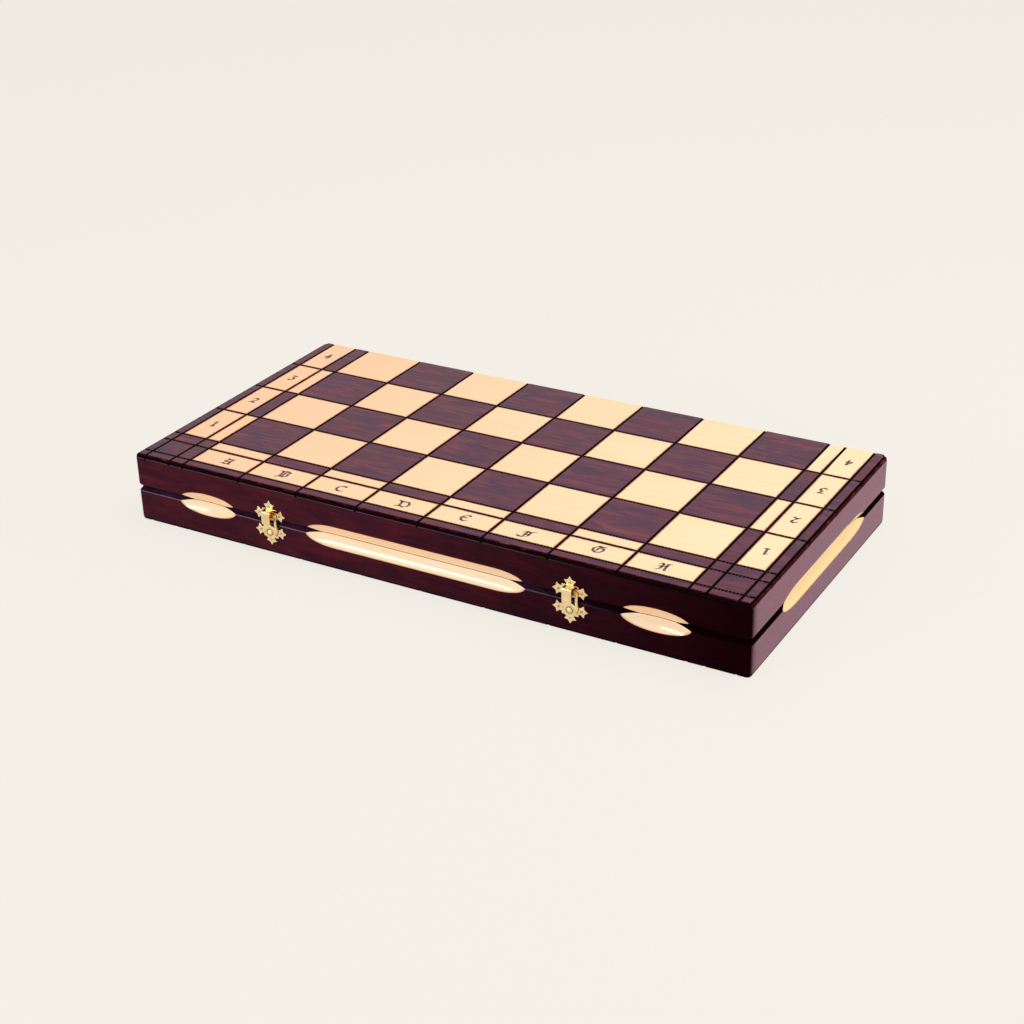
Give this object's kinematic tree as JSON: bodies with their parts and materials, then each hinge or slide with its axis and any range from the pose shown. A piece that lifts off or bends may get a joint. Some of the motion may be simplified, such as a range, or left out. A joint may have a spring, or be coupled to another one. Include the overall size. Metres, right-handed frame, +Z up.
{
  "type": "folding chess set",
  "caption": "Folding wooden board case with chessmen inside: grid playing faces, lettered border, finger coves, butt hinges at the back and swing-hook brass clasps in front.",
  "frame": {"origin": "middle of the underside of the closed case", "axes": "+X along the case towards the board's H file, +Y from the clasps towards the hinges, +Z up out of the lid's playing face"},
  "size_m": [0.42, 0.2171, 0.0464],
  "materials": {
    "board": "polished",
    "case_wood": "polished",
    "brass": "polished",
    "felt": "matte",
    "light_men": "polished",
    "dark_men": "polished",
    "divider_wood": "plain"
  },
  "bodies": {
    "lower_half": {"lower_board_panel": "board", "lower_front_wall": "case_wood", "lower_back_wall": "case_wood", "lower_left_wall": "case_wood", "lower_right_wall": "case_wood", "lower_lining": "felt", "row_dividers": "divider_wood", "cell_dividers": "divider_wood", "clasp_lower_plate_left": "brass", "clasp_lower_plate_right": "brass", "clasp_rivet_left": "brass", "clasp_rivet_right": "brass", "hinge_lower_leaf_left": "brass", "hinge_lower_leaf_right": "brass", "hinge_pin_left": "brass", "hinge_pin_right": "brass", "light_pieces": "light_men", "light_pawns": "light_men", "dark_pieces": "dark_men", "dark_pawns": "dark_men"},
    "upper_half": {"upper_board_panel": "board", "upper_front_wall": "case_wood", "upper_back_wall": "case_wood", "upper_left_wall": "case_wood", "upper_right_wall": "case_wood", "upper_lining": "felt", "clasp_upper_plate_left": "brass", "clasp_upper_plate_right": "brass", "hinge_upper_leaf_left": "brass", "hinge_upper_leaf_right": "brass"},
    "latch_left": {"clasp_hook_left": "brass"},
    "latch_right": {"clasp_hook_right": "brass"}
  },
  "joints": [
    {"name": "lid_hinge", "type": "hinge", "parent": "lower_half", "child": "upper_half", "pos_m": [0, 0.10515, 0.0232], "axis": [-1, 0, 0], "range_deg": [0, 180]},
    {"name": "latch_left_pivot", "type": "hinge", "parent": "lower_half", "child": "latch_left", "pos_m": [-0.1059, -0.1064, 0.0161], "axis": [0, 1, 0], "range_deg": [0, 95]},
    {"name": "latch_right_pivot", "type": "hinge", "parent": "lower_half", "child": "latch_right", "pos_m": [0.1011, -0.1064, 0.0161], "axis": [0, 1, 0], "range_deg": [0, 95]}
  ]
}
